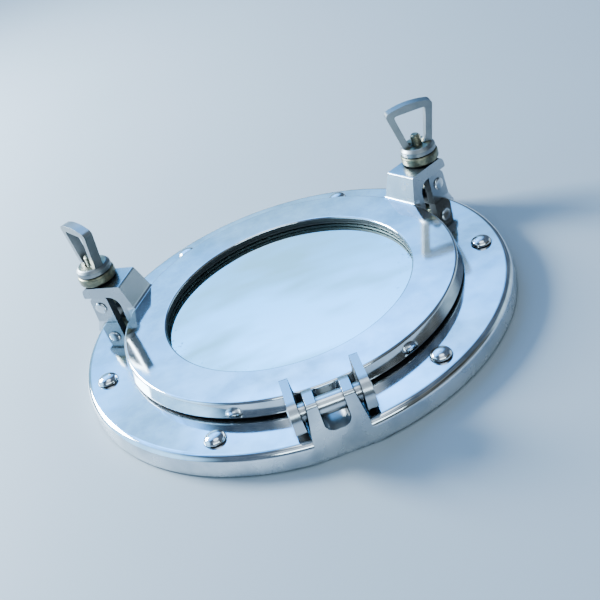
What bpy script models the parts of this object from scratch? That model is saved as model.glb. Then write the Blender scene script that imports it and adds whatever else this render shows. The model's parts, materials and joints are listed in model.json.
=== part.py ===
"""Opening porthole of polished cast aluminium with a mirror in its door.

It lies on its back: the back plane is z = 0, the glass faces +Z and the hinge is at -Y. The origin is
the centre of the back plane. Two dogs with loop nuts clamp the door at 30 degrees and 150 degrees.
"""

from math import cos, pi, radians, sin, tan

import bmesh
import bpy
from mathutils import Matrix, Vector

MM = 0.001
GAP = 0.3 * MM  # left between pieces that touch
RING_STEPS = 72
ROUND_STEPS = 20
CUT_LENGTH = 60.0 * MM  # of a cutter that goes right through

# Base ring, which screws to the wall
BASE_RADIUS = 115.0 * MM
BASE_INNER_RADIUS = 81.0 * MM
BASE_HEIGHT = 11.4 * MM
SHOULDER_RADIUS = 3.7 * MM
RIM_DRAFT = 0.4 * MM  # by which the rim is smaller at its shoulder than at its back
FRONT_FLAT_Y = -113.8 * MM  # the rim is ground flat in front of the hinge

# Seal in the base ring
SEAL_RADIUS = 85.5 * MM
SEAL_WIDTH = 3.4 * MM
GROOVE_DEPTH = 2.2 * MM

# Door ring
DOOR_TOP = 21.0 * MM
DOOR_BOTTOM = 12.6 * MM
DOOR_BACK = 10.1 * MM
DOOR_RADIUS = 90.9 * MM
DOOR_FLAT_RADIUS = 88.3 * MM
DOOR_SPIGOT_RADIUS = 79.5 * MM
OPENING_RADIUS = 66.2 * MM
RECESS_RADIUS = 73.0 * MM
LIP_BOTTOM = 18.2 * MM

# What the door holds, from the front to the back
GASKET_THICKNESS = 1.4 * MM
GLASS_THICKNESS = 4.0 * MM
BACKING_THICKNESS = 1.5 * MM
RETAINING_THICKNESS = 1.7 * MM
RETAINING_INNER_RADIUS = 66.0 * MM
RETAINING_OUTER_RADIUS = 79.0 * MM
RETAINING_SCREWS = 6
RETAINING_SCREW_CIRCLE = 76.2 * MM
FIRST_RETAINING_ANGLE = 10.0
RETAINING_HOLE_RADIUS = 1.6 * MM
RETAINING_SCREW = {"head": (2.8 * MM, 1.6 * MM), "shank": (1.3 * MM, 6.0 * MM)}  # radius and length

# Flange screws: two in each sector between the hinge and the dogs
FLANGE_SCREW_CIRCLE = 102.6 * MM
FLANGE_SCREW_ANGLES = (-5.7, 62.3, 117.7, 185.7, 238.1, 301.9)
FLANGE_HOLE_RADIUS = 2.7 * MM
FLANGE_SCREW = {"head": (5.3 * MM, 3.2 * MM), "shank": (2.4 * MM, 10.8 * MM)}

# Hinge, with its axis along X
HINGE_Y = -104.5 * MM
HINGE_Z = 22.0 * MM
PIN_RADIUS = 4.6 * MM
BORE_RADIUS = PIN_RADIUS + GAP
UPRIGHT_TOP = 31.0 * MM
UPRIGHT_HALF_WIDTH = 10.6 * MM
ROOT_HALF_WIDTH = 13.4 * MM
UPRIGHT_GAP = 12.2 * MM
UPRIGHT_FLOOR = 14.4 * MM
EAR_MIDDLE_X = 16.4 * MM
EAR_TOP_HALF = 2.0 * MM
EAR_ROOT_HALF = 2.8 * MM

# Dogs: distances from the centre along each dog's own radius
DOG_ANGLES = {"left": 150.0, "right": 30.0}
NUT_ANGLES = {"left": -30.0, "right": -31.0}
PIVOT_RADIUS = 110.0 * MM
PIVOT_Z = 21.5 * MM
CLEVIS_INNER = 104.0 * MM
CLEVIS_OUTER = 115.2 * MM
CLEVIS_FOOT = 118.6 * MM
CLEVIS_TOP = 28.4 * MM
CLEVIS_HALF_WIDTH = 9.2 * MM
EYE_SLOT = 8.2 * MM
LUG_TOP = 34.9 * MM
LUG_BOTTOM = 29.0 * MM
LUG_OUTER = 117.0 * MM
LUG_HALF_WIDTH = 9.6 * MM
LUG_ROOT_HALF_WIDTH = 11.2 * MM
STUD_RADIUS = 2.9 * MM
STUD_LENGTH = 29.8 * MM
EYE_RADIUS = 4.9 * MM
PIVOT_PIN_RADIUS = 2.6 * MM
PIVOT_HEAD = (3.4 * MM, 0.9 * MM)  # radius and height of the pin's rivet heads
WASHER_SEAT = 14.2 * MM  # from the pivot to the washer, along the stud
WASHER_RADIUS = 10.5 * MM
WASHER_THICKNESS = 5.2 * MM
NUT_SEAT = WASHER_SEAT + WASHER_THICKNESS + GAP
NUT_RADIUS = 9.8 * MM
NUT_HEIGHT = 4.4 * MM
LOOP_HEIGHT = 29.0 * MM
LOOP_DEPTH = 5.2 * MM
LOOP_HALF_WIDTH = 13.6 * MM
LOOP_ROOT_HALF_WIDTH = 8.0 * MM
LOOP_ROOT = 3.0 * MM
LOOP_BOW_RADIUS = 43 * MM

Z_TO_T = Matrix.Rotation(radians(90), 4, "X")  # an outline's Y becomes Z
OUTLINE_TO_YZ = Matrix(((0, 0, 1, 0), (1, 0, 0, 0), (0, 1, 0, 0), (0, 0, 0, 1)))
X_AXIS_UP = Matrix.Rotation(radians(90), 4, "Y")


def clear_scene():
    for obj in list(bpy.data.objects):
        bpy.data.objects.remove(obj, do_unlink=True)


def make_collection(name, helper=False):
    collection = bpy.data.collections.new(name)
    bpy.context.scene.collection.children.link(collection)
    collection.hide_render = helper
    return collection


clear_scene()
PORTHOLE = make_collection("opening_porthole")
CUTTERS = make_collection("cutters", helper=True)


def make_material(name, colour, roughness, metallic):
    material = bpy.data.materials.new(name)
    material.use_nodes = True
    shader = material.node_tree.nodes["Principled BSDF"]
    shader.inputs["Base Color"].default_value = (*colour, 1.0)
    shader.inputs["Roughness"].default_value = roughness
    shader.inputs["Metallic"].default_value = metallic
    return material


def add_object(name, mesh, collection=PORTHOLE, matrix=None):
    obj = bpy.data.objects.new(name, mesh)
    collection.objects.link(obj)
    if matrix is not None:
        obj.matrix_world = matrix
    return obj


def as_helper(obj):
    """Moves an object that only shapes another one out of the way of the render."""
    for collection in obj.users_collection:
        collection.objects.unlink(obj)
    CUTTERS.objects.link(obj)
    obj.hide_render = True
    obj.display_type = "WIRE"
    return obj


def arc(centre_x, centre_y, radius, first, last, steps):
    """Points round a centre, from one angle to another in degrees."""
    angles = [radians(first + (last - first) * i / steps) for i in range(steps + 1)]
    return [(centre_x + radius * cos(a), centre_y + radius * sin(a)) for a in angles]


def rounded(corners, steps=5):
    """An outline whose corners (x, y, radius) are replaced by arcs."""
    outline = []
    for number, (x, y, radius) in enumerate(corners):
        corner = Vector((x, y))
        if radius == 0:
            outline.append(tuple(corner))
            continue
        before = (Vector(corners[number - 1][:2]) - corner).normalized()
        after = (Vector(corners[(number + 1) % len(corners)][:2]) - corner).normalized()
        half = before.angle(after) / 2
        centre = corner + (before + after).normalized() * radius / sin(half)
        first = corner + before * radius / tan(half) - centre
        last = corner + after * radius / tan(half) - centre
        turns = [first.slerp(last, i / steps).normalized() for i in range(steps + 1)]
        outline += [tuple(centre + radius * turn) for turn in turns]
    return outline


def turned(name, profile, steps=RING_STEPS, closed=True):
    """A turned solid: the profile's (radius, z) points run down its outer side."""
    mesh = bpy.data.meshes.new(name)
    points = [(radius, 0, z) for radius, z in profile]
    edges = [(i, i + 1) for i in range(len(points) - 1)]
    if closed:
        edges.append((len(points) - 1, 0))
    mesh.from_pydata(points, edges, [])
    obj = add_object(name, mesh)
    screw = obj.modifiers.new("turn", "SCREW")
    screw.steps = screw.render_steps = steps
    screw.use_merge_vertices = True
    screw.merge_threshold = 0.01 * MM
    return obj


def outlined(name, outlines, thickness, matrix):
    """A flat plate from closed outlines, the first its edge and the others its holes."""
    curve = bpy.data.curves.new(name, "CURVE")
    curve.dimensions = "2D"
    curve.fill_mode = "BOTH"
    curve.extrude = thickness / 2
    for outline in outlines:
        spline = curve.splines.new("POLY")
        spline.points.add(len(outline) - 1)
        for point, (x, y) in zip(spline.points, outline):
            point.co = (x, y, 0, 1)
        spline.use_cyclic_u = True
    flat = add_object(name + "_outline", curve)
    graph = bpy.context.evaluated_depsgraph_get()
    mesh = bpy.data.meshes.new_from_object(flat.evaluated_get(graph))
    bpy.data.objects.remove(flat, do_unlink=True)
    work = bmesh.new()
    work.from_mesh(mesh)
    bmesh.ops.remove_doubles(work, verts=work.verts, dist=0.001 * MM)
    bmesh.ops.transform(work, matrix=matrix, verts=work.verts)
    bmesh.ops.recalc_face_normals(work, faces=work.faces)
    work.to_mesh(mesh)
    work.free()
    return add_object(name, mesh)


def cylinder(name, radius, length, matrix, steps=ROUND_STEPS):
    """A cylinder centred on its matrix, with its axis along that matrix's Z."""
    work = bmesh.new()
    bmesh.ops.create_cone(work, cap_ends=True, segments=steps, radius1=radius, radius2=radius, depth=length)
    mesh = bpy.data.meshes.new(name)
    work.to_mesh(mesh)
    work.free()
    return add_object(name, mesh, matrix=matrix)


def box(name, low, high, matrix=None):
    work = bmesh.new()
    bmesh.ops.create_cube(work, size=1)
    size = Vector(high) - Vector(low)
    bmesh.ops.scale(work, vec=size, verts=work.verts)
    bmesh.ops.translate(work, vec=(Vector(low) + Vector(high)) / 2, verts=work.verts)
    mesh = bpy.data.meshes.new(name)
    work.to_mesh(mesh)
    work.free()
    return add_object(name, mesh, matrix=matrix)


def taper(obj, axis, half_width_at):
    """Sets each point's distance from the middle plane across an axis to a width that varies with z."""
    for vertex in obj.data.vertices:
        side = 1 if vertex.co[axis] > 0 else -1
        vertex.co[axis] = side * half_width_at(vertex.co.z)


def boolean(target, tool, operation="DIFFERENCE"):
    modifier = target.modifiers.new(tool.name, "BOOLEAN")
    modifier.operation = operation
    modifier.object = as_helper(tool)


def bevel(obj, width, segments=2, angle=40):
    modifier = obj.modifiers.new("bevel", "BEVEL")
    modifier.width = width
    modifier.segments = segments
    modifier.limit_method = "ANGLE"
    modifier.angle_limit = radians(angle)


def finish(obj, material, parent=None):
    """Applies the modifiers, shades round faces smooth and hangs the piece on its parent."""
    bpy.context.view_layer.update()
    graph = bpy.context.evaluated_depsgraph_get()
    mesh = bpy.data.meshes.new_from_object(obj.evaluated_get(graph))
    obj.modifiers.clear()
    obj.data = mesh
    mesh.name = obj.name
    mesh.materials.clear()
    mesh.materials.append(material)
    mesh.shade_smooth()
    mesh.set_sharp_from_angle(angle=radians(32))
    if parent is not None:
        matrix = obj.matrix_world.copy()
        obj.parent = parent
        obj.matrix_parent_inverse = parent.matrix_world.inverted()
        obj.matrix_world = matrix
    return obj


def joint_empty(name, matrix):
    empty = add_object(name, None, matrix=matrix)
    empty.empty_display_size = 10 * MM
    bpy.context.view_layer.update()
    return empty


def radial_frame(angle, radius=0.0, z=0.0):
    """A frame at an angle round the ring: X points outward, Y along the rim and Z up."""
    return Matrix.Rotation(radians(angle), 4, "Z") @ Matrix.Translation((radius, 0, z))


def upright_half_width(z):
    """Half the width of the hinge block, which widens towards its root."""
    share = (UPRIGHT_TOP - z) / (UPRIGHT_TOP - BASE_HEIGHT)
    return UPRIGHT_HALF_WIDTH + (ROOT_HALF_WIDTH - UPRIGHT_HALF_WIDTH) * min(share, 1.0)


def ear_half_width(z):
    """Half the thickness of a door ear, a casting that is thicker at its root."""
    share = (UPRIGHT_TOP - z) / (UPRIGHT_TOP - DOOR_BOTTOM)
    return EAR_TOP_HALF + (EAR_ROOT_HALF - EAR_TOP_HALF) * share


def lug_half_width(z):
    """Half the width of a door lug, which widens towards the door."""
    share = (LUG_TOP - z) / (LUG_TOP - DOOR_TOP)
    return LUG_HALF_WIDTH + (LUG_ROOT_HALF_WIDTH - LUG_HALF_WIDTH) * share


def hinge_block():
    """Two uprights on one root, with a round-bottomed gap between them."""
    back = HINGE_Y + (UPRIGHT_TOP - HINGE_Z)
    front = FRONT_FLAT_Y - 2 * MM
    top_arc = arc(HINGE_Y, HINGE_Z, UPRIGHT_TOP - HINGE_Z, 0, 90, 8)
    outline = [(front, 0.8 * MM), (back, 0.8 * MM), *top_arc]
    outline += rounded(
        [
            (HINGE_Y, UPRIGHT_TOP, 0),
            (FRONT_FLAT_Y, UPRIGHT_TOP, 2.2 * MM),
            (FRONT_FLAT_Y, UPRIGHT_TOP - 6 * MM, 0),
        ],
        steps=4,
    )[1:-1]
    outline += [(FRONT_FLAT_Y, UPRIGHT_TOP - 6 * MM), (front, UPRIGHT_TOP - 6 * MM)]
    block = outlined("hinge_block", [outline], 2 * ROOT_HALF_WIDTH, OUTLINE_TO_YZ)
    taper(block, 0, upright_half_width)
    half = UPRIGHT_GAP / 2
    gap = outlined(
        "upright_gap",
        [
            rounded(
                [
                    (-half, UPRIGHT_FLOOR, 4.6 * MM),
                    (half, UPRIGHT_FLOOR, 4.6 * MM),
                    (half, UPRIGHT_TOP + 5 * MM, 0),
                    (-half, UPRIGHT_TOP + 5 * MM, 0),
                ]
            )
        ],
        CUT_LENGTH,
        Matrix.Translation((0, HINGE_Y, 0)) @ Z_TO_T,
    )
    boolean(block, gap)
    return block


def clevis(side):
    """The pair of lugs on the rim that a swing bolt's eye turns between."""
    frame = radial_frame(DOG_ANGLES[side])
    outline = rounded(
        [
            (CLEVIS_INNER, 3.2 * MM, 0),
            (CLEVIS_FOOT, 3.2 * MM, 0.8 * MM),
            (CLEVIS_FOOT, 6.6 * MM, 1.2 * MM),
            (CLEVIS_OUTER + 0.6 * MM, BASE_HEIGHT + 1 * MM, 3 * MM),
            (CLEVIS_OUTER, CLEVIS_TOP, 3.2 * MM),
            (CLEVIS_INNER, CLEVIS_TOP, 1.6 * MM),
        ],
        steps=3,
    )
    block = outlined(side + "_clevis", [outline], 2 * CLEVIS_HALF_WIDTH, frame @ Z_TO_T)
    slot = box(
        side + "_eye_slot",
        (CLEVIS_INNER - 5 * MM, -EYE_SLOT / 2, BASE_HEIGHT + 1 * MM),
        (CLEVIS_FOOT + 5 * MM, EYE_SLOT / 2, CLEVIS_TOP + 5 * MM),
        frame,
    )
    bore = cylinder(
        side + "_clevis_bore",
        PIVOT_PIN_RADIUS + GAP,
        CUT_LENGTH,
        radial_frame(DOG_ANGLES[side], PIVOT_RADIUS, PIVOT_Z) @ Z_TO_T,
    )
    boolean(block, slot)
    boolean(block, bore)
    return block


def base_ring(material):
    groove = [SEAL_RADIUS - SEAL_WIDTH / 2 - GAP, SEAL_RADIUS + SEAL_WIDTH / 2 + GAP]
    shoulder_x = BASE_RADIUS - RIM_DRAFT - SHOULDER_RADIUS
    profile = [
        (BASE_INNER_RADIUS, BASE_HEIGHT),
        (groove[0], BASE_HEIGHT),
        (groove[0], BASE_HEIGHT - GROOVE_DEPTH),
        (groove[1], BASE_HEIGHT - GROOVE_DEPTH),
        (groove[1], BASE_HEIGHT),
        *arc(shoulder_x, BASE_HEIGHT - SHOULDER_RADIUS, SHOULDER_RADIUS, 90, 0, 4),
        (BASE_RADIUS, 0.8 * MM),
        (BASE_RADIUS - 0.7 * MM, 0),
        (BASE_INNER_RADIUS, 0),
    ]
    ring = turned("base_ring", profile)
    boolean(ring, hinge_block(), "UNION")
    for side in DOG_ANGLES:
        boolean(ring, clevis(side), "UNION")
    low = (-BASE_RADIUS / 2, -BASE_RADIUS - 10 * MM, -5 * MM)
    boolean(ring, box("front_flat", low, (BASE_RADIUS / 2, FRONT_FLAT_Y, UPRIGHT_TOP + 5 * MM)))
    axis = Matrix.Translation((0, HINGE_Y, HINGE_Z)) @ X_AXIS_UP
    boolean(ring, cylinder("hinge_bore", BORE_RADIUS, CUT_LENGTH, axis))
    for i, angle in enumerate(FLANGE_SCREW_ANGLES, 1):
        centre = radial_frame(angle, FLANGE_SCREW_CIRCLE)
        boolean(ring, cylinder(f"flange_hole_{i}", FLANGE_HOLE_RADIUS, CUT_LENGTH, centre, steps=16))
    return finish(ring, material)


def door_seal(material):
    half = SEAL_WIDTH / 2
    bottom = BASE_HEIGHT - GROOVE_DEPTH + GAP
    top = DOOR_BOTTOM - GAP
    profile = [
        (SEAL_RADIUS - half, top - 1 * MM),
        *arc(SEAL_RADIUS, top - 1 * MM, 1 * MM, 135, 45, 3),
        (SEAL_RADIUS + half, top - 1 * MM),
        (SEAL_RADIUS + half, bottom),
        (SEAL_RADIUS - half, bottom),
    ]
    return finish(turned("door_seal", profile), material)


def door_ear(name, side):
    """A hinge ear: it rises above the door and ends round in front of the hinge pin."""
    front = FRONT_FLAT_Y
    corners = [
        (-84 * MM, 13.6 * MM, 0),
        (-84 * MM, DOOR_TOP - 0.6 * MM, 0),
        (-86.2 * MM, DOOR_TOP - 0.6 * MM, 0),
        (-88.2 * MM, UPRIGHT_TOP, 1.6 * MM),
        (front, UPRIGHT_TOP, 8.4 * MM),
        (front, 18.6 * MM, 1.4 * MM),
        (-108 * MM, 13.8 * MM, 2 * MM),
    ]
    ear = outlined(name, [rounded(corners, steps=6)], 2 * EAR_ROOT_HALF, OUTLINE_TO_YZ)
    taper(ear, 0, ear_half_width)
    ear.location.x = side * EAR_MIDDLE_X
    bevel(ear, 0.6 * MM, segments=1)
    return ear


def door_lug(side):
    """A forked lug that reaches out over the clevis and takes the nut's load."""
    frame = radial_frame(DOG_ANGLES[side])
    corners = [
        (80 * MM, DOOR_BOTTOM + GAP, 0),
        (80 * MM, DOOR_TOP - 0.6 * MM, 0),
        (87.2 * MM, DOOR_TOP - 0.6 * MM, 0),
        (92.5 * MM, LUG_TOP, 0.8 * MM),
        (LUG_OUTER, LUG_TOP, 3.0 * MM),
        (LUG_OUTER, LUG_BOTTOM, 0.8 * MM),
        (95.4 * MM, LUG_BOTTOM, 7.0 * MM),
        (94.6 * MM, DOOR_BOTTOM + GAP, 1.5 * MM),
    ]
    lug = outlined(side + "_lug", [rounded(corners)], 2 * LUG_HALF_WIDTH, Z_TO_T)
    taper(lug, 1, lug_half_width)
    lug.matrix_world = frame
    half = EYE_SLOT / 2
    far = LUG_OUTER + 5 * MM
    slot = [(far, -half), (far, half), *arc(PIVOT_RADIUS, 0, half, 90, 270, 10)]
    height = 2 * (LUG_TOP - LUG_BOTTOM)
    middle = Matrix.Translation((0, 0, (LUG_TOP + LUG_BOTTOM) / 2))
    fork = outlined(side + "_fork_slot", [slot], height, frame @ middle)
    boolean(lug, fork)
    return lug


def door_ring(material, parent):
    profile = [
        (OPENING_RADIUS, DOOR_TOP - 1 * MM),
        (OPENING_RADIUS + 1 * MM, DOOR_TOP),
        (DOOR_FLAT_RADIUS, DOOR_TOP),
        (DOOR_FLAT_RADIUS + 0.8 * MM, DOOR_TOP - 0.4 * MM),
        (DOOR_FLAT_RADIUS + 1.3 * MM, DOOR_TOP - 1.2 * MM),
        (DOOR_RADIUS, DOOR_BOTTOM + 1.4 * MM),
        (DOOR_RADIUS - 0.2 * MM, DOOR_BOTTOM + 0.5 * MM),
        (DOOR_RADIUS - 0.9 * MM, DOOR_BOTTOM),
        (DOOR_SPIGOT_RADIUS, DOOR_BOTTOM),
        (DOOR_SPIGOT_RADIUS, DOOR_BACK),
        (RECESS_RADIUS, DOOR_BACK),
        (RECESS_RADIUS, LIP_BOTTOM),
        (OPENING_RADIUS, LIP_BOTTOM),
    ]
    ring = turned("door_ring", profile)
    boolean(ring, door_ear("left_ear", -1), "UNION")
    boolean(ring, door_ear("right_ear", 1), "UNION")
    for side in DOG_ANGLES:
        boolean(ring, door_lug(side), "UNION")
    axis = Matrix.Translation((0, HINGE_Y, HINGE_Z)) @ X_AXIS_UP
    boolean(ring, cylinder("ear_bore", BORE_RADIUS, CUT_LENGTH, axis))
    for i, angle in enumerate(retaining_angles(), 1):
        centre = radial_frame(angle, RETAINING_SCREW_CIRCLE, DOOR_BACK)
        depth = 2 * RETAINING_SCREW["shank"][1]
        boolean(ring, cylinder(f"retaining_hole_{i}", RETAINING_HOLE_RADIUS, depth, centre, steps=12))
    return finish(ring, material, parent)


def disc(name, radius, top, thickness, material, parent):
    """A flat disc with slightly broken edges."""
    edge = 0.4 * MM
    bottom = top - thickness
    profile = [
        (0, top),
        (radius - edge, top),
        (radius, top - edge),
        (radius, bottom + edge),
        (radius - edge, bottom),
        (0, bottom),
    ]
    return finish(turned(name, profile, closed=False), material, parent)


def flat_ring(name, inner, outer, top, thickness):
    profile = [(inner, top), (outer, top), (outer, top - thickness), (inner, top - thickness)]
    return turned(name, profile)


def retaining_angles():
    return [FIRST_RETAINING_ANGLE + 360 * i / RETAINING_SCREWS for i in range(RETAINING_SCREWS)]


def mirror_stack(materials, parent):
    """Gasket, mirror, backing and retaining ring, stacked down from the door's front lip."""
    fit_radius = RECESS_RADIUS - GAP
    top = LIP_BOTTOM - GAP
    gasket = flat_ring("glass_gasket", OPENING_RADIUS + 0.4 * MM, fit_radius, top, GASKET_THICKNESS)
    finish(gasket, materials["rubber"], parent)
    top -= GASKET_THICKNESS + GAP
    disc("mirror_glass", fit_radius, top, GLASS_THICKNESS, materials["mirror"], parent)
    top -= GLASS_THICKNESS + GAP
    disc("backing_plate", fit_radius, top, BACKING_THICKNESS, materials["board"], parent)
    top = DOOR_BACK - GAP
    radii = (RETAINING_INNER_RADIUS, RETAINING_OUTER_RADIUS)
    ring = flat_ring("retaining_ring", *radii, top, RETAINING_THICKNESS)
    for i, angle in enumerate(retaining_angles(), 1):
        matrix = radial_frame(angle, RETAINING_SCREW_CIRCLE, top)
        boolean(ring, cylinder(f"ring_hole_{i}", RETAINING_HOLE_RADIUS, CUT_LENGTH, matrix, steps=12))
    finish(ring, materials["steel"], parent)
    seat = top - RETAINING_THICKNESS - GAP
    for i, angle in enumerate(retaining_angles(), 1):
        name = f"retaining_screw_{i}"
        under = Matrix.Rotation(pi, 4, "X")
        matrix = radial_frame(angle, RETAINING_SCREW_CIRCLE, seat) @ under
        round_head_screw(name, RETAINING_SCREW, matrix, materials["steel"], parent)


def round_head_screw(name, sizes, matrix, material, parent):
    """A round-head screw whose head sits on z = 0 of its matrix."""
    head_radius, head_height = sizes["head"]
    shank_radius, shank_length = sizes["shank"]
    dome = [(head_radius * sin(radians(a)), head_height * cos(radians(a))) for a in (0, 25, 50, 75, 90)]
    profile = [
        *dome,
        (shank_radius, 0),
        (shank_radius, -shank_length + shank_radius),
        (0, -shank_length),
    ]
    screw = turned(name, profile, steps=14, closed=False)
    screw.matrix_world = matrix
    return finish(screw, material, parent)


def flange_screws(material):
    for i, angle in enumerate(FLANGE_SCREW_ANGLES, 1):
        matrix = radial_frame(angle, FLANGE_SCREW_CIRCLE, BASE_HEIGHT + GAP)
        round_head_screw(f"flange_screw_{i}", FLANGE_SCREW, matrix, material, None)


def pin(name, radius, length, matrix, material, head=None):
    """A pin along its matrix's Z with broken ends or, with a head's (radius, height), rivet heads."""
    half = length / 2
    chamfer = 0.7 * MM
    end = [(0, half), (radius - chamfer, half), (radius, half - chamfer)]
    if head:
        head_radius, head_height = head
        end = [
            (0, half + head_height),
            (head_radius * 0.7, half + head_height * 0.85),
            (head_radius, half + head_height * 0.3),
            (head_radius, half),
            (radius, half),
        ]
    profile = end + [(r, -z) for r, z in reversed(end)]
    obj = turned(name, profile, steps=ROUND_STEPS, closed=False)
    obj.matrix_world = matrix
    return finish(obj, material)


def swing_bolt(side, material, parent):
    """An eye bolt: the eye turns on the pivot pin, and the stud takes the nut."""
    matrix = parent.matrix_world.copy()
    stud = turned(
        side + "_swing_bolt",
        [
            (0, STUD_LENGTH),
            (STUD_RADIUS - 0.8 * MM, STUD_LENGTH),
            (STUD_RADIUS, STUD_LENGTH - 0.8 * MM),
            (STUD_RADIUS, 0),
            (0, 0),
        ],
        steps=ROUND_STEPS,
        closed=False,
    )
    stud.matrix_world = matrix
    eye = cylinder(side + "_eye", EYE_RADIUS, EYE_SLOT - 2 * GAP, matrix @ Z_TO_T)
    bore = cylinder(side + "_eye_bore", PIVOT_PIN_RADIUS + GAP, CUT_LENGTH, matrix @ Z_TO_T)
    boolean(stud, eye, "UNION")
    boolean(stud, bore)
    return finish(stud, material, parent)


def washer(side, material, parent):
    edge = 0.9 * MM
    bore = STUD_RADIUS + GAP
    profile = [
        (bore, WASHER_THICKNESS),
        (WASHER_RADIUS - edge, WASHER_THICKNESS),
        (WASHER_RADIUS, WASHER_THICKNESS - edge),
        (WASHER_RADIUS, edge),
        (WASHER_RADIUS - edge, 0),
        (bore, 0),
    ]
    ring = turned(side + "_washer", profile, steps=32)
    ring.matrix_world = parent.matrix_world @ Matrix.Translation((0, 0, WASHER_SEAT))
    return finish(ring, material, parent)


def loop_nut(side, material, parent):
    """A nut with a tapering loop for a handle, its top bar bowed a little."""
    matrix = (
        parent.matrix_world
        @ Matrix.Translation((0, 0, NUT_SEAT))
        @ Matrix.Rotation(radians(NUT_ANGLES[side]), 4, "Z")
    )
    boss = turned(
        side + "_loop_nut",
        [
            (0, NUT_HEIGHT),
            (NUT_RADIUS - 2.4 * MM, NUT_HEIGHT),
            (NUT_RADIUS - 1.0 * MM, NUT_HEIGHT - 0.8 * MM),
            (NUT_RADIUS, NUT_HEIGHT - 2.6 * MM),
            (NUT_RADIUS, 0.6 * MM),
            (NUT_RADIUS - 0.5 * MM, 0),
            (0, 0),
        ],
        steps=32,
        closed=False,
    )
    boss.matrix_world = matrix
    bow = arc(0, LOOP_HEIGHT - LOOP_BOW_RADIUS, LOOP_BOW_RADIUS, 76, 104, 6)
    shoulder = (LOOP_HALF_WIDTH, LOOP_HEIGHT - 2 * MM, 2.4 * MM)
    outer = rounded(
        [
            (-LOOP_ROOT_HALF_WIDTH, LOOP_ROOT, 0),
            (LOOP_ROOT_HALF_WIDTH, LOOP_ROOT, 0),
            shoulder,
            *[(x, y, 0) for x, y in bow],
            (-shoulder[0], *shoulder[1:]),
        ],
        steps=4,
    )
    inner = rounded(
        [
            (-4.8 * MM, 5.2 * MM, 1.2 * MM),
            (4.8 * MM, 5.2 * MM, 1.2 * MM),
            (9.1 * MM, 24.6 * MM, 1.0 * MM),
            (-9.1 * MM, 24.6 * MM, 1.0 * MM),
        ],
        steps=3,
    )
    loop = outlined(side + "_loop", [outer, inner], LOOP_DEPTH, Z_TO_T)
    bevel(loop, 1.0 * MM)
    loop.matrix_world = matrix
    bore = cylinder(side + "_nut_bore", STUD_RADIUS + GAP, 40 * MM, matrix)
    boolean(boss, loop, "UNION")
    boolean(boss, bore)
    return finish(boss, material, parent)


def dog(side, materials):
    pivot = radial_frame(DOG_ANGLES[side], PIVOT_RADIUS, PIVOT_Z)
    pin_length = 2 * (CLEVIS_HALF_WIDTH + GAP)
    pin(side + "_pivot_pin", PIVOT_PIN_RADIUS, pin_length, pivot @ Z_TO_T, materials["steel"], PIVOT_HEAD)
    swing = joint_empty(side + "_swing_axis", pivot)
    swing_bolt(side, materials["brass"], swing)
    washer(side, materials["brass"], swing)
    loop_nut(side, materials["aluminium"], swing)


def main():
    materials = {
        "aluminium": make_material("polished_aluminium", (0.78, 0.80, 0.83), 0.14, 1.0),
        "steel": make_material("bright_steel", (0.66, 0.67, 0.69), 0.20, 1.0),
        "brass": make_material("tarnished_brass", (0.38, 0.31, 0.20), 0.36, 1.0),
        "mirror": make_material("mirror_glass", (0.86, 0.92, 0.95), 0.02, 1.0),
        "rubber": make_material("black_rubber", (0.02, 0.02, 0.02), 0.60, 0.0),
        "board": make_material("backing_board", (0.25, 0.20, 0.15), 0.80, 0.0),
    }
    base_ring(materials["aluminium"])
    door_seal(materials["rubber"])
    flange_screws(materials["steel"])
    pin_length = 2 * (EAR_MIDDLE_X + EAR_ROOT_HALF)
    axis = Matrix.Translation((0, HINGE_Y, HINGE_Z))
    pin("hinge_pin", PIN_RADIUS, pin_length, axis @ X_AXIS_UP, materials["steel"])
    door = joint_empty("door_hinge_axis", axis)
    door_ring(materials["aluminium"], door)
    mirror_stack(materials, door)
    for side in DOG_ANGLES:
        dog(side, materials)


main()
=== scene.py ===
"""Looks of the opening porthole: polished castings, a mirror, tarnished brass and plain studio light.

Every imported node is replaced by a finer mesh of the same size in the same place. Only here do the bolts
have threads and the nuts dishes. Lengths are in metres, except in the corners that rounded() takes, which
are in millimetres. The part lies on its back: z = 0 is its back plane, the hinge is at -Y and the glass
faces +Z.
"""

import json
from math import atan2, cos, degrees, pi, radians, sin, tan

import bmesh
import bpy
from mathutils import Matrix, Vector

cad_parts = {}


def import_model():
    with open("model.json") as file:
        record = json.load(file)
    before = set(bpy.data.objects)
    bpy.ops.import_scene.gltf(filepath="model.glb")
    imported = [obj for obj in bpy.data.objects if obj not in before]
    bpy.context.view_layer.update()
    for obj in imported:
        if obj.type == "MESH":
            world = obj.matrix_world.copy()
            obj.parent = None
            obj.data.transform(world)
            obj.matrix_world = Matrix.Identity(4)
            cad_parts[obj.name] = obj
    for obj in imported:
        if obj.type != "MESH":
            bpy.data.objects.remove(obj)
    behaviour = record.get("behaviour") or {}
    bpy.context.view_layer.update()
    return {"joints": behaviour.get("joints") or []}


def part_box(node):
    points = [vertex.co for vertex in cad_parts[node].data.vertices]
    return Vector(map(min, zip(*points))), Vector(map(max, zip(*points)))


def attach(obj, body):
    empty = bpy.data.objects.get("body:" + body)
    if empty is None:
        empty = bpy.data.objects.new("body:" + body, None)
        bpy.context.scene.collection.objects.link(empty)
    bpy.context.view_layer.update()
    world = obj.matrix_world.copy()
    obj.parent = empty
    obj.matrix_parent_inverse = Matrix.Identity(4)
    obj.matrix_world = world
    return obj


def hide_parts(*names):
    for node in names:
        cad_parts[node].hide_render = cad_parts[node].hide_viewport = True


MM = 0.001
GAP = 0.3 * MM  # left between pieces that touch
RING_STEPS = 288
ROUND_STEPS = 64
THROUGH = 60.0 * MM  # length of a cutter that goes right through

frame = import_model()
JOINTS = {joint["name"]: joint for joint in frame["joints"]}
SIDES = ("left", "right")
SCREW_NUMBERS = range(1, 7)

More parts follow.
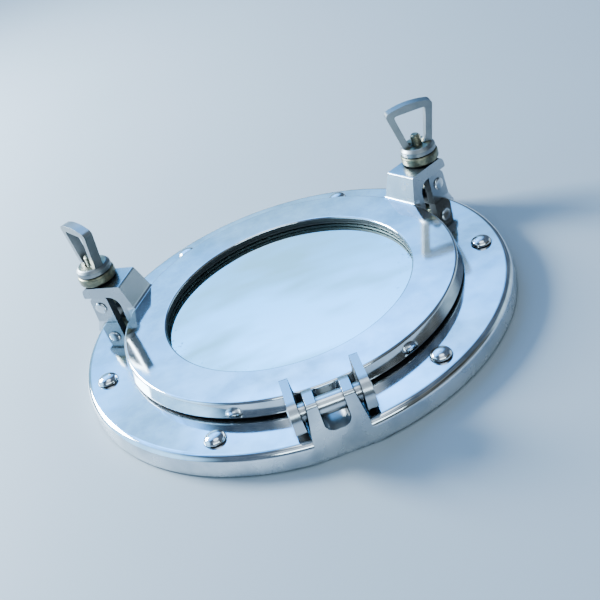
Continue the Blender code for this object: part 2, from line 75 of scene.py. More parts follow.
# Camera: at the photograph's height and side, turned a little about its line of sight
CAMERA_AT = Vector((-4.2, -452.8, 294.2)) * MM
CAMERA_AIM = Vector((4.7, 17.1, 0.0)) * MM
CAMERA_ROLL = radians(-19.8)
CAMERA_VIEW = radians(32.7)

# Screws: radius and length of the head, then of the shank
FLANGE_SCREW = ((5.3 * MM, 3.2 * MM), (2.4 * MM, 10.8 * MM))
RETAINING_SCREW = ((2.75 * MM, 1.6 * MM), (1.3 * MM, 6.0 * MM))
FLANGE_HOLE_RADIUS = 2.7 * MM
RETAINING_HOLE_RADIUS = 1.6 * MM
RETAINING_HOLE_LENGTH = 12.0 * MM

# Base ring
BASE_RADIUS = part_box("base_ring")[1].x
BASE_INNER = 81.0 * MM
BASE_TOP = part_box("flange_screw_1")[1].z - FLANGE_SCREW[0][1] - GAP
SHOULDER = 3.7 * MM
RIM_DRAFT = 0.45 * MM  # by which the rim is smaller at its shoulder than at its back
FRONT_FLAT_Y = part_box("base_ring")[0].y
GROOVE = (83.5 * MM, 87.5 * MM, 2.2 * MM)  # inner radius, outer radius and depth

# Hinge
HINGE_Y, HINGE_Z = JOINTS["door_hinge"]["pos_m"][1:]
HINGE_SIDE_Y = -90.0 * MM  # in front of it, what stands above the flange belongs to the hinge
PIN_RADIUS = 4.6 * MM
PIN_CHAMFER = 0.8 * MM
BORE_RADIUS = PIN_RADIUS + GAP
UPRIGHT_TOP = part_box("base_ring")[1].z
UPRIGHT_HALF = 10.6 * MM
ROOT_HALF = 13.4 * MM
ROOT_TOP = 12.5 * MM
UPRIGHT_GAP = 12.2 * MM
UPRIGHT_FLOOR = 14.4 * MM
EAR_MIDDLE = 16.4 * MM
EAR_TOP_HALF = 2.0 * MM
EAR_ROOT_HALF = 2.8 * MM

# Door ring
DOOR_TOP = 21.0 * MM
DOOR_BOTTOM = 12.6 * MM
DOOR_BACK = 10.1 * MM
DOOR_RADIUS = 90.9 * MM
DOOR_TOP_RADIUS = 89.1 * MM  # before its edge is rounded
SPIGOT_RADIUS = 79.5 * MM
OPENING_RADIUS = 66.2 * MM
RECESS_RADIUS = 73.0 * MM
LIP_BOTTOM = 18.2 * MM

# Dogs: seats, stud and thread are measured from the pivot, and the nut's heights from its seat
PIVOTS = {side: Vector(JOINTS[side + "_dog_swing"]["pos_m"]) for side in SIDES}
DOG_ANGLES = {side: degrees(atan2(PIVOTS[side].y, PIVOTS[side].x)) for side in SIDES}
NUT_ANGLES = {"left": -30.0, "right": -31.0}
PIVOT_RADIUS = PIVOTS["left"].xy.length
PIVOT_Z = PIVOTS["left"].z
PIVOT_PIN_RADIUS = 2.6 * MM
PIVOT_PIN_HALF = 9.5 * MM
PIVOT_HEAD = (3.4 * MM, 0.9 * MM)  # radius and height of the pin's rivet heads
PIVOT_BORE_RADIUS = PIVOT_PIN_RADIUS + GAP
CLEVIS_INNER = 104.0 * MM
CLEVIS_TOP = 28.4 * MM
CLEVIS_WIDTH = 18.2 * MM
EYE_SLOT = 8.2 * MM
EYE_RADIUS = 4.9 * MM
LUG_TOP = 34.9 * MM
LUG_BOTTOM = 29.0 * MM
LUG_OUTER = 117.0 * MM
LUG_HALF = 9.6 * MM
LUG_ROOT_HALF = 11.2 * MM
STUD_RADIUS = 2.9 * MM
STUD_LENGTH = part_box("left_swing_bolt")[1].z - PIVOT_Z
THREAD_START = 10.0 * MM
THREAD_PITCH = 1.0 * MM
THREAD_DEPTH = 0.38 * MM
WASHER_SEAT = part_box("left_washer")[0].z - PIVOT_Z
WASHER_RADIUS = 10.5 * MM
WASHER_THICKNESS = 5.2 * MM
NUT_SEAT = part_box("left_loop_nut")[0].z - PIVOT_Z
NUT_RADIUS = 9.8 * MM
NUT_HEIGHT = 4.4 * MM
NUT_BORE_LENGTH = 40.0 * MM  # half of it above the nut's seat, short of the loop's top bar
DISH_RADIUS = 3.6 * MM  # at its bottom
DISH_BOTTOM = 3.6 * MM
LOOP_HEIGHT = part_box("left_loop_nut")[1].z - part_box("left_loop_nut")[0].z
LOOP_HALF = 13.6 * MM
LOOP_DEPTH = 5.2 * MM
LOOP_BOW_RADIUS = 43.0 * MM

Z_TO_T = Matrix.Rotation(radians(90), 4, "X")  # an outline's Y becomes Z
OUTLINE_TO_YZ = Matrix(((0, 0, 1, 0), (1, 0, 0, 0), (0, 1, 0, 0), (0, 0, 0, 1)))
HINGE_AXIS = Matrix.Translation((0, HINGE_Y, HINGE_Z)) @ Matrix.Rotation(radians(90), 4, "Y")


# ---------------------------------------------------------------- shapes


def arc(centre_x, centre_y, radius, first, last, steps):
    """Points round a centre, from one angle to another in degrees."""
    angles = [radians(first + (last - first) * i / steps) for i in range(steps + 1)]
    return [(centre_x + radius * cos(a), centre_y + radius * sin(a)) for a in angles]


def rounded(corners, steps=6):
    """An outline whose corners (x, y, radius) in millimetres are replaced by arcs, in metres."""
    outline = []
    for number, (x, y, radius) in enumerate(corners):
        corner = Vector((x, y))
        if radius == 0:
            outline.append(tuple(corner * MM))
            continue
        before = (Vector(corners[number - 1][:2]) - corner).normalized()
        after = (Vector(corners[(number + 1) % len(corners)][:2]) - corner).normalized()
        half = before.angle(after) / 2
        centre = corner + (before + after).normalized() * radius / sin(half)
        first = corner + before * radius / tan(half) - centre
        last = corner + after * radius / tan(half) - centre
        turns = [first.slerp(last, i / steps).normalized() for i in range(steps + 1)]
        outline += [tuple((centre + radius * turn) * MM) for turn in turns]
    return outline


def both_ends(upper):
    """The profile of a pin that is the same at both ends, from its upper half."""
    return upper + [(radius, -z) for radius, z in reversed(upper)]


def add_object(name, data, matrix=None):
    obj = bpy.data.objects.new(name, data)
    bpy.context.scene.collection.objects.link(obj)
    if matrix is not None:
        obj.matrix_world = matrix
    return obj


def add_work(name, work, matrix=None):
    """An object made from a bmesh, which is used up."""
    mesh = bpy.data.meshes.new(name)
    work.to_mesh(mesh)
    work.free()
    return add_object(name, mesh, matrix)


def applied(obj):
    """The object with its modifiers applied to its mesh."""
    bpy.context.view_layer.update()
    graph = bpy.context.evaluated_depsgraph_get()
    mesh = bpy.data.meshes.new_from_object(obj.evaluated_get(graph))
    obj.modifiers.clear()
    obj.data = mesh
    return obj


def turned(name, profile, steps=RING_STEPS, closed=True, matrix=None):
    """A turned solid: the profile's (radius, z) points run down its outer side."""
    mesh = bpy.data.meshes.new(name)
    points = [(radius, 0, z) for radius, z in profile]
    edges = [(i, i + 1) for i in range(len(points) - 1)]
    if closed:
        edges.append((len(points) - 1, 0))
    mesh.from_pydata(points, edges, [])
    obj = add_object(name, mesh, matrix)
    screw = obj.modifiers.new("turn", "SCREW")
    screw.steps = screw.render_steps = steps
    screw.use_merge_vertices = True
    screw.merge_threshold = 0.01 * MM
    return applied(obj)


def outlined(name, outlines, thickness, matrix):
    """A flat plate from closed outlines, the first its edge and the others its holes."""
    curve = bpy.data.curves.new(name, "CURVE")
    curve.dimensions = "2D"
    curve.fill_mode = "BOTH"
    curve.extrude = thickness / 2
    for outline in outlines:
        spline = curve.splines.new("POLY")
        spline.points.add(len(outline) - 1)
        for point, (x, y) in zip(spline.points, outline):
            point.co = (x, y, 0, 1)
        spline.use_cyclic_u = True
    flat = add_object(name + "_outline", curve)
    graph = bpy.context.evaluated_depsgraph_get()
    mesh = bpy.data.meshes.new_from_object(flat.evaluated_get(graph))
    bpy.data.objects.remove(flat, do_unlink=True)
    work = bmesh.new()
    work.from_mesh(mesh)
    bpy.data.meshes.remove(mesh)
    bmesh.ops.remove_doubles(work, verts=work.verts, dist=0.001 * MM)
    bmesh.ops.transform(work, matrix=matrix, verts=work.verts)
    bmesh.ops.recalc_face_normals(work, faces=work.faces)
    return add_work(name, work)


def cylinder(name, radius, length, matrix=None, steps=ROUND_STEPS):
    """A cylinder centred on its matrix, with its axis along that matrix's Z."""
    work = bmesh.new()
    bmesh.ops.create_cone(work, cap_ends=True, segments=steps, radius1=radius, radius2=radius, depth=length)
    return add_work(name, work, matrix)


def cuboid(name, low, high):
    work = bmesh.new()
    bmesh.ops.create_cube(work, size=1)
    bmesh.ops.scale(work, vec=Vector(high) - Vector(low), verts=work.verts)
    bmesh.ops.translate(work, vec=(Vector(low) + Vector(high)) / 2, verts=work.verts)
    return add_work(name, work)


def taper(obj, axis, half_width_at):
    """Sets each point's distance from the middle plane across an axis to a width that varies with z."""
    for vertex in obj.data.vertices:
        side = 1 if vertex.co[axis] > 0 else -1
        vertex.co[axis] = side * half_width_at(vertex.co.z)


def combine(target, tool, operation="DIFFERENCE"):
    """Applies a Boolean with the tool, which is used up."""
    modifier = target.modifiers.new("combine", "BOOLEAN")
    modifier.operation = operation
    modifier.object = tool
    applied(target)
    bpy.data.objects.remove(tool, do_unlink=True)


def bevel(obj, width, segments=3, angle=35):
    modifier = obj.modifiers.new("bevel", "BEVEL")
    modifier.width = width
    modifier.segments = segments
    modifier.limit_method = "ANGLE"
    modifier.angle_limit = radians(angle)
    applied(obj)


def place_piece(obj, material, body, node):
    """Shades a piece smooth with flat faces kept flat, and puts it in the place of its CAD node."""
    obj.data.materials.clear()
    obj.data.materials.append(material)
    obj.data.shade_smooth()
    obj.data.set_sharp_from_angle(angle=radians(32))
    weighted = obj.modifiers.new("weighted", "WEIGHTED_NORMAL")
    weighted.keep_sharp = True
    weighted.weight = 90
    applied(obj)
    obj.name = node + "_fine"
    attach(obj, body)
    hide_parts(node)


def cover_faces(obj, material, is_covered):
    """Gives another material to the faces that pass a test of their centre and normal."""
    obj.data.materials.append(material)
    index = len(obj.data.materials) - 1
    for face in obj.data.polygons:
        if is_covered(face.center, face.normal):
            face.material_index = index


def middle(node):
    low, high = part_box(node)
    return (low + high) / 2


def drill_for_screws(target, kind, radius, length, z, steps):
    """Bores the target in line with each of the six screws of a kind."""
    for number in SCREW_NUMBERS:
        centre = middle(f"{kind}_screw_{number}")
        place = Matrix.Translation((centre.x, centre.y, z))
        combine(target, cylinder("screw_hole", radius, length, place, steps))


def radial_frame(angle, radius=0.0, z=0.0):
    """A frame at an angle round the ring: X points outward, Y along the rim and Z up."""
    return Matrix.Rotation(radians(angle), 4, "Z") @ Matrix.Translation((radius, 0, z))


def pivot_frame(side, height=0.0):
    """A radial frame on a dog's pivot, or at a height above it."""
    return radial_frame(DOG_ANGLES[side], PIVOT_RADIUS, PIVOT_Z + height)


def in_a_dog(point, normal):
    """A point and a normal in the nearer dog's radial frame, its origin on the ring's axis."""
    turn = radial_frame(DOG_ANGLES["left" if point.x < 0 else "right"]).inverted()
    return turn @ point, turn.to_3x3() @ normal


# ---------------------------------------------------------------- material helpers


def add_node(tree, kind, inputs=None, **settings):
    node = tree.nodes.new(kind)
    for name, value in settings.items():
        setattr(node, name, value)
    for name, value in (inputs or {}).items():
        if isinstance(value, bpy.types.NodeSocket):
            tree.links.new(value, node.inputs[name])
        else:
            node.inputs[name].default_value = value
    return node


def new_material(name, metallic, **constants):
    """A material, its node tree and the object's own coordinates in it."""
    material = bpy.data.materials.new(name)
    material.use_nodes = True
    tree = material.node_tree
    shader = tree.nodes["Principled BSDF"]
    shader.inputs["Metallic"].default_value = metallic
    for socket, value in constants.items():
        shader.inputs[socket.replace("_", " ")].default_value = value
    return material, tree, add_node(tree, "ShaderNodeTexCoord").outputs["Object"]


def connected(material, colour, roughness, normal=None):
    """The material with these sockets connected to its shader."""
    tree = material.node_tree
    shader = tree.nodes["Principled BSDF"]
    tree.links.new(colour, shader.inputs["Base Color"])
    tree.links.new(roughness, shader.inputs["Roughness"])
    if normal is not None:
        tree.links.new(normal, shader.inputs["Normal"])
    return material


def stretched(tree, place, scale, rotation=(0, 0, 0)):
    inputs = {"Vector": place, "Scale": scale, "Rotation": rotation}
    return add_node(tree, "ShaderNodeMapping", inputs).outputs["Vector"]


def grain(tree, vector, scale, detail=3.0, roughness=0.55):
    inputs = {"Vector": vector, "Scale": scale, "Detail": detail, "Roughness": roughness}
    return add_node(tree, "ShaderNodeTexNoise", inputs).outputs["Fac"]


def ramp(tree, value, stops):
    """A colour ramp; a stop is (position, grey or colour)."""
    node = add_node(tree, "ShaderNodeValToRGB", {"Fac": value})
    elements = node.color_ramp.elements
    while len(elements) < len(stops):
        elements.new(0.5)
    for element, (position, colour) in zip(elements, stops):
        element.position = position
        rgb = colour if isinstance(colour, tuple) else (colour,) * 3
        element.color = (*rgb, 1.0)
    return node.outputs["Color"]


def mix(tree, factor, first, second, blend_type="MIX"):
    """The first at factor 0 and the second at factor 1; each may be a socket, a colour or a number."""
    node = add_node(tree, "ShaderNodeMix", data_type="RGBA", blend_type=blend_type)
    for socket, value in ((node.inputs[0], factor), (node.inputs[6], first), (node.inputs[7], second)):
        if isinstance(value, bpy.types.NodeSocket):
            tree.links.new(value, socket)
        elif isinstance(value, tuple):
            socket.default_value = (*value, 1.0)
        else:
            socket.default_value = value
    return node.outputs[2]


def spread(tree, value, low, high):
    """Maps a value from 0..1 to low..high."""
    inputs = {"Value": value, "To Min": low, "To Max": high}
    return add_node(tree, "ShaderNodeMapRange", inputs).outputs["Result"]


def between(tree, value, low, high, **settings):
    """0 up to low, 1 from high; the other way round if low is the greater."""
    inputs = {"Value": value, "From Min": low, "From Max": high}
    return add_node(tree, "ShaderNodeMapRange", inputs, **settings).outputs["Result"]


def calculate(tree, operation, first, second):
    return add_node(tree, "ShaderNodeMath", {0: first, 1: second}, operation=operation).outputs["Value"]


def bump(tree, height, strength, distance, normal=None):
    inputs = {"Height": height, "Strength": strength, "Distance": distance}
    if normal is not None:
        inputs["Normal"] = normal
    return add_node(tree, "ShaderNodeBump", inputs).outputs["Normal"]


def crevices(tree, distance):
    """1 in the open and towards 0 in corners closer than the distance."""
    return add_node(tree, "ShaderNodeAmbientOcclusion", {"Distance": distance}, samples=6).outputs["AO"]


def unshaded_and_clean(tree, distance, specks):
    """1 on open faces and 0 in corners and seams, which are darkened there as painted shade and grime; the
    specks break up its edge.
    """
    # ambient occlusion darkens corners and seams: painted shade, broken up by specks of grime
    soiled = mix(tree, specks, (0.0, 0.0, 0.0), (0.7, 0.7, 0.7))
    openness = mix(tree, 1.0, crevices(tree, distance), soiled, "SUBTRACT")
    corners = ramp(tree, openness, [(0.06, 0.0), (0.34, 1.0)])
    seams = ramp(tree, crevices(tree, 0.9 * MM), [(0.42, 0.0), (0.72, 1.0)])
    return mix(tree, 1.0, corners, seams, "MULTIPLY")


def raised_parts(tree, radius, z):
    """1 on all that stands above the door and the flange: uprights, ears, lugs and clevises."""
    outside = between(tree, radius, DOOR_RADIUS + 1.0 * MM, DOOR_RADIUS + 2.0 * MM)
    above_base = between(tree, z, BASE_TOP + 0.5 * MM, BASE_TOP + 1.5 * MM)
    above_door = between(tree, z, DOOR_TOP + 0.3 * MM, DOOR_TOP + 1.5 * MM)
    return calculate(tree, "MAXIMUM", calculate(tree, "MULTIPLY", outside, above_base), above_door)


def outer_wall(tree, radius, y, z):
    """1 on the base's outer wall, below its shoulder, and on the ground front of the hinge block."""
    low = between(tree, z, BASE_TOP - 0.4 * SHOULDER, BASE_TOP - SHOULDER)
    rim = between(tree, radius, BASE_RADIUS - 2.0 * MM, BASE_RADIUS - 1.0 * MM)
    ground = between(tree, y, FRONT_FLAT_Y + 0.6 * MM, FRONT_FLAT_Y + 0.2 * MM)
    return calculate(tree, "MAXIMUM", calculate(tree, "MULTIPLY", low, rim), ground)


def unbuffed(tree, place):
    """Two masks: where the casting is satin, and where it is duller too, which leaves out its wall."""
    axes = add_node(tree, "ShaderNodeSeparateXYZ", {"Vector": place}).outputs
    flat = add_node(tree, "ShaderNodeVectorMath", {0: place, 1: (1, 1, 0)}, operation="MULTIPLY")
    length = add_node(tree, "ShaderNodeVectorMath", {0: flat.outputs["Vector"]}, operation="LENGTH")
    radius = length.outputs["Value"]
    raised = raised_parts(tree, radius, axes["Z"])
    wall = outer_wall(tree, radius, axes["Y"], axes["Z"])
    return calculate(tree, "MAXIMUM", raised, wall), calculate(tree, "SUBTRACT", raised, wall)


# ---------------------------------------------------------------- materials


def polished_aluminium():
    """Buffed casting: soft waves, hairline buffing marks, a few pits, and black compound and painted shade
    in corners.

    The outer wall and all that stands above the door and the flange are left satin.
    """
    material, tree, place = new_material("polished_aluminium", 1.0)
    waves = grain(tree, place, 38.0, 1.0)
    hairlines = grain(tree, stretched(tree, place, (900, 90, 300), (0.3, 0.2, 0.9)), 2.2)
    clouds = grain(tree, place, 60.0, 4.0)
    specks = grain(tree, place, 1100.0, 4.0, 0.7)
    pits = add_node(tree, "ShaderNodeTexVoronoi", {"Vector": place, "Scale": 160.0}).outputs["Distance"]
    pit_mask = ramp(tree, pits, [(0.0, 1.0), (0.045, 0.0)])
    satin, dull = unbuffed(tree, place)
    open_air = unshaded_and_clean(tree, 4.5 * MM, specks)
    metal = ramp(tree, clouds, [(0.36, (0.60, 0.635, 0.665)), (0.64, (0.86, 0.885, 0.91))])
    duller = mix(tree, dull, metal, mix(tree, clouds, (0.34, 0.355, 0.37), (0.52, 0.54, 0.56)))
    pitted = mix(tree, pit_mask, duller, (0.20, 0.21, 0.23))
    # near-black in corners and seams: painted shade and black compound
    colour = mix(tree, open_air, (0.055, 0.058, 0.06), pitted)
    surface = mix(tree, satin, spread(tree, clouds, 0.03, 0.13), spread(tree, clouds, 0.18, 0.34))
    roughness = mix(tree, open_air, (0.45, 0.45, 0.45), surface)
    soft = bump(tree, waves, 0.2, 0.6 * MM)
    return connected(material, colour, roughness, bump(tree, hairlines, 0.05, 0.02 * MM, soft))


def satin_aluminium():
    """The loop nuts and the floor between the uprights: less buffed, with a sandy grain, and painted shade
    and grime in hollows.
    """
    material, tree, place = new_material("satin_aluminium", 1.0)
    clouds = grain(tree, place, 130.0, 4.0)
    sand = grain(tree, place, 1500.0, 4.0, 0.6)
    hairlines = grain(tree, stretched(tree, place, (300, 1200, 200), (0.1, 0.5, 0.4)), 2.0)
    metal = mix(tree, clouds, (0.17, 0.175, 0.18), (0.32, 0.325, 0.33))
    # dark in hollows: painted shade and grime, broken up by the sandy grain
    colour = mix(tree, unshaded_and_clean(tree, 3.0 * MM, sand), (0.05, 0.05, 0.045), metal)
    rough = bump(tree, sand, 0.18, 0.06 * MM)
    normal = bump(tree, hairlines, 0.10, 0.03 * MM, rough)
    return connected(material, colour, spread(tree, clouds, 0.30, 0.50), normal)


def plated_screw():
    """The flange's round heads: bright plate, with painted shade where a head meets the flange."""
    material, tree, place = new_material("plated_screw", 1.0)
    clouds = grain(tree, place, 220.0)
    open_air = ramp(tree, crevices(tree, 1.2 * MM), [(0.15, 0.0), (0.6, 1.0)])
    metal = mix(tree, clouds, (0.66, 0.67, 0.69), (0.80, 0.81, 0.83))
    # dark where the head meets the flange: painted shade
    colour = mix(tree, open_air, (0.12, 0.12, 0.12), metal)
    normal = bump(tree, grain(tree, place, 700.0), 0.10, 0.03 * MM)
    return connected(material, colour, spread(tree, clouds, 0.06, 0.16), normal)


def bright_steel():
    """Pins, retaining ring and its screws: fine machining marks and a faint darkening in corners and seams,
    which is painted shade and grime.
    """
    material, tree, place = new_material("bright_steel", 1.0)
    rings = grain(tree, stretched(tree, place, (2600, 60, 60)), 1.0, 2.0)
    clouds = grain(tree, place, 150.0, 4.0)
    metal = mix(tree, clouds, (0.58, 0.59, 0.60), (0.76, 0.77, 0.78))
    # near-black in corners and seams: painted shade and grime
    colour = mix(tree, unshaded_and_clean(tree, 3.0 * MM, clouds), (0.05, 0.05, 0.05), metal)
    normal = bump(tree, rings, 0.12, 0.02 * MM)
    return connected(material, colour, spread(tree, rings, 0.12, 0.24), normal)


def tarnished_brass():
    """Brass gone olive-brown, brighter where it is rubbed, with painted shade in its crevices."""
    material, tree, place = new_material("tarnished_brass", 0.85)
    clouds = grain(tree, place, 170.0, 5.0, 0.65)
    specks = grain(tree, place, 900.0)
    open_air = ramp(tree, crevices(tree, 1.5 * MM), [(0.1, 0.0), (0.5, 1.0)])
    tones = [(0.32, (0.060, 0.060, 0.042)), (0.50, (0.16, 0.15, 0.10)), (0.66, (0.34, 0.29, 0.17))]
    dirty = mix(tree, spread(tree, specks, 0.0, 0.5), ramp(tree, clouds, tones), (0.12, 0.12, 0.09))
    # near-black in crevices: painted shade
    colour = mix(tree, open_air, (0.035, 0.032, 0.025), dirty)
    normal = bump(tree, specks, 0.18, 0.05 * MM)
    return connected(material, colour, spread(tree, clouds, 0.48, 0.26), normal)


def mirror_glass():
    """Silvered glass, slightly green-blue, with small spots where the silvering fails near the edge."""
    material, tree, place = new_material("mirror_glass", 1.0, Coat_Weight=0.6, Coat_Roughness=0.01)
    radius = add_node(tree, "ShaderNodeVectorMath", {0: place}, operation="LENGTH").outputs["Value"]
    near_edge = between(tree, radius, OPENING_RADIUS - 7 * MM, OPENING_RADIUS)
    blots = ramp(tree, grain(tree, place, 420.0, 4.0, 0.7), [(0.60, 0.0), (0.66, 1.0)])
    spots = calculate(tree, "MULTIPLY", blots, near_edge)
    haze = grain(tree, place, 24.0)
    silver = mix(tree, haze, (0.74, 0.98, 0.96), (0.80, 0.99, 0.99))
    colour = mix(tree, spots, silver, (0.25, 0.28, 0.29))
    return connected(material, colour, spread(tree, spots, 0.008, 0.30), bump(tree, haze, 0.02, 0.10 * MM))


def black_rubber():
    """The door seal and the glass gasket: matt, with a little dust."""
    material, tree, place = new_material("black_rubber", 0.0, Specular_IOR_Level=0.35)
    dust = grain(tree, place, 320.0, 5.0, 0.7)
    colour = mix(tree, dust, (0.008, 0.009, 0.010), (0.035, 0.036, 0.038))
    normal = bump(tree, grain(tree, place, 1800.0), 0.25, 0.05 * MM)
    return connected(material, colour, spread(tree, dust, 0.42, 0.70), normal)


def backing_board():
    """Brown hardboard."""
    material, tree, place = new_material("backing_board", 0.0)
    fibres = grain(tree, stretched(tree, place, (1.0, 3.0, 1.0), (0, 0, 0.4)), 400.0, 6.0, 0.7)
    colour = mix(tree, fibres, (0.13, 0.085, 0.05), (0.30, 0.21, 0.13))
    normal = bump(tree, fibres, 0.4, 0.1 * MM)
    return connected(material, colour, spread(tree, fibres, 0.65, 0.9), normal)


def dark_casting():
    """The castings' unpolished places where shade falls, painted near-black as shade over some grime: the
    opening's wall, slots, cheeks and undersides.
    """
    material, tree, place = new_material("dark_casting", 0.2, Specular_IOR_Level=0.2)
    clouds = grain(tree, place, 190.0, 5.0, 0.65)
    # near-black colour: painted shade, with some grime
    colour = mix(tree, clouds, (0.006, 0.008, 0.009), (0.045, 0.048, 0.05))
    normal = bump(tree, grain(tree, place, 1300.0), 0.3, 0.08 * MM)
    return connected(material, colour, spread(tree, clouds, 0.55, 0.80), normal)


def studio_floor():
    """A plain pale floor."""
    material, tree, place = new_material("studio_floor", 0.0, Specular_IOR_Level=0.3)
    clouds = grain(tree, place, 2.5)
    colour = mix(tree, clouds, (0.28, 0.31, 0.34), (0.32, 0.35, 0.38))
    return connected(material, colour, spread(tree, clouds, 0.55, 0.7))


# ---------------------------------------------------------------- the base


def upright_half_width(z):
    share = (UPRIGHT_TOP - z) / (UPRIGHT_TOP - BASE_TOP)
    return UPRIGHT_HALF + (ROOT_HALF - UPRIGHT_HALF) * min(share, 1.0)


def hinge_block():
    """Two uprights on one root, with a round-bottomed gap between them and softened edges.

    Below the root's top the block reaches past the front flat, and base_ring() cuts the surplus off.
    """
    crown = UPRIGHT_TOP - HINGE_Z
    surplus_y = FRONT_FLAT_Y - 1.5 * MM
    outline = [(surplus_y, 0.9 * MM), (HINGE_Y + crown, 0.9 * MM), *arc(HINGE_Y, HINGE_Z, crown, 0, 90, 14)]
    middle_y, top, front = (v / MM for v in (HINGE_Y, UPRIGHT_TOP, FRONT_FLAT_Y))
    outline += rounded([(middle_y, top, 0), (front, top, 2.2), (front, top - 8, 0)])[1:-1]
    outline += [(FRONT_FLAT_Y, ROOT_TOP), (surplus_y, ROOT_TOP)]
    block = outlined("hinge_block", [outline], 2 * ROOT_HALF, OUTLINE_TO_YZ)
    taper(block, 0, upright_half_width)
    half = UPRIGHT_GAP / 2 / MM
    bottom = UPRIGHT_FLOOR / MM
    corners = [(-half, bottom, 4.6), (half, bottom, 4.6), (half, 36, 0), (-half, 36, 0)]
    place = Matrix.Translation((0, HINGE_Y, 0)) @ Z_TO_T
    combine(block, outlined("upright_gap", [rounded(corners, 8)], THROUGH, place))
    bevel(block, 1.0 * MM, 4)
    return block


def clevis(side):
    """The pair of lugs on the rim that the swing bolt's eye turns between."""
    inner, top = CLEVIS_INNER / MM, CLEVIS_TOP / MM
    corners = [
        (inner, 3.4, 0),
        (118.5, 3.4, 0.8),
        (118.5, 6.6, 1.2),
        (115.8, 12.4, 3),
        (115.1, top, 3.2),
        (inner, top, 1.6),
    ]
    block = outlined(side + "_clevis", [rounded(corners)], CLEVIS_WIDTH, Z_TO_T)
    low = (99 * MM, -EYE_SLOT / 2, BASE_TOP + 1 * MM)
    high = (124 * MM, EYE_SLOT / 2, CLEVIS_TOP + 5 * MM)
    combine(block, cuboid("eye_slot", low, high))
    bevel(block, 0.7 * MM)
    block.matrix_world = radial_frame(DOG_ANGLES[side])
    combine(block, cylinder("clevis_bore", PIVOT_BORE_RADIUS, THROUGH, pivot_frame(side) @ Z_TO_T, 32))
    return block


def rough_and_shaded_on_base(centre, normal):
    """The clevis's slot and back, and the uprights' cheeks: rough, and painted dark as shade with some
    grime.
    """
    if centre.z < BASE_TOP + 0.6 * MM:
        return False
    if centre.y < HINGE_SIDE_Y:
        return abs(normal.x) > 0.6
    point, turned_normal = in_a_dog(centre, normal)
    in_slot = abs(point.y) < EYE_SLOT / 2 + 0.2 * MM and point.z < CLEVIS_TOP - 0.5 * MM
    return in_slot or turned_normal.x < -0.8


def between_uprights(centre, normal):
    """The floor of the gap between the uprights."""
    in_gap = abs(centre.x) < UPRIGHT_GAP / 2 and centre.y < HINGE_SIDE_Y
    return in_gap and BASE_TOP < centre.z < HINGE_Z and normal.z > 0.3


def base_ring(materials):
    """Flange, hinge block and clevises in one casting, ground flat in front and drilled."""
    inner, outer, depth = (v / MM for v in GROOVE)
    bore, top, radius = (v / MM for v in (BASE_INNER, BASE_TOP, BASE_RADIUS))
    corners = [
        (bore, top, 0.4),
        (inner, top, 0.2),
        (inner, top - depth, 0.2),
        (outer, top - depth, 0.2),
        (outer, top, 0.2),
        (radius - RIM_DRAFT / MM, top, SHOULDER / MM),
        (radius, 0, 0.8),
        (bore, 0, 0.4),
    ]
    ring = turned("base_ring_fine", rounded(corners, 9))
    combine(ring, hinge_block(), "UNION")
    for side in SIDES:
        combine(ring, clevis(side), "UNION")
    low, high = (-60 * MM, -130 * MM, -5 * MM), (60 * MM, FRONT_FLAT_Y, 40 * MM)
    combine(ring, cuboid("front_flat", low, high))
    combine(ring, cylinder("hinge_bore", BORE_RADIUS, THROUGH, HINGE_AXIS))
    drill_for_screws(ring, "flange", FLANGE_HOLE_RADIUS, THROUGH, 0, 32)
    place_piece(ring, materials["polished_aluminium"], "base", "base_ring")
    # slots, backs and cheeks painted near-black: painted shade and grime
    cover_faces(ring, materials["dark_casting"], rough_and_shaded_on_base)
    cover_faces(ring, materials["satin_aluminium"], between_uprights)


def door_seal(material):
    corners = [(83.8, 12.3, 0.9), (87.2, 12.3, 0.9), (87.2, 9.5, 0.2), (83.8, 9.5, 0.2)]
    place_piece(turned("door_seal_fine", rounded(corners)), material, "base", "door_seal")


def round_head_screw(node, body, size, matrix, material):
    """A screw of one of the two sizes, whose head sits on the matrix's z = 0."""
    (head_radius, head_height), (radius, length) = size
    turns = [radians(angle) for angle in range(0, 86, 5)]
    profile = [(head_radius * sin(turn), head_height * cos(turn) ** 0.85) for turn in turns]
    profile += [
        (head_radius, 0.25 * MM),
        (head_radius - 0.25 * MM, 0),
        (radius, 0),
        (radius, -length + radius),
        (0, -length),
    ]
    screw = turned(node + "_fine", profile, 48, closed=False, matrix=matrix)
    place_piece(screw, material, body, node)


def screws(materials):
    """The flange's screws from the front and the retaining ring's from the back."""
    for number in SCREW_NUMBERS:
        node = f"flange_screw_{number}"
        centre = middle(node)
        seat = Matrix.Translation((centre.x, centre.y, BASE_TOP + GAP))
        round_head_screw(node, "base", FLANGE_SCREW, seat, materials["plated_screw"])
        node = f"retaining_screw_{number}"
        centre = middle(node)
        seat_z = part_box(node)[0].z + RETAINING_SCREW[0][1]
        seat = Matrix.Translation((centre.x, centre.y, seat_z)) @ Matrix.Rotation(pi, 4, "X")
        round_head_screw(node, "door", RETAINING_SCREW, seat, materials["bright_steel"])


def hinge_pin(material):
    """A plain pin with broken ends."""
    half = max(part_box("hinge_pin")[1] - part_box("hinge_pin")[0]) / 2
    upper = [(0, half), (PIN_RADIUS - PIN_CHAMFER, half), (PIN_RADIUS, half - PIN_CHAMFER)]
    shaft = turned("hinge_pin_fine", both_ends(upper), ROUND_STEPS, False, HINGE_AXIS)
    place_piece(shaft, material, "base", "hinge_pin")


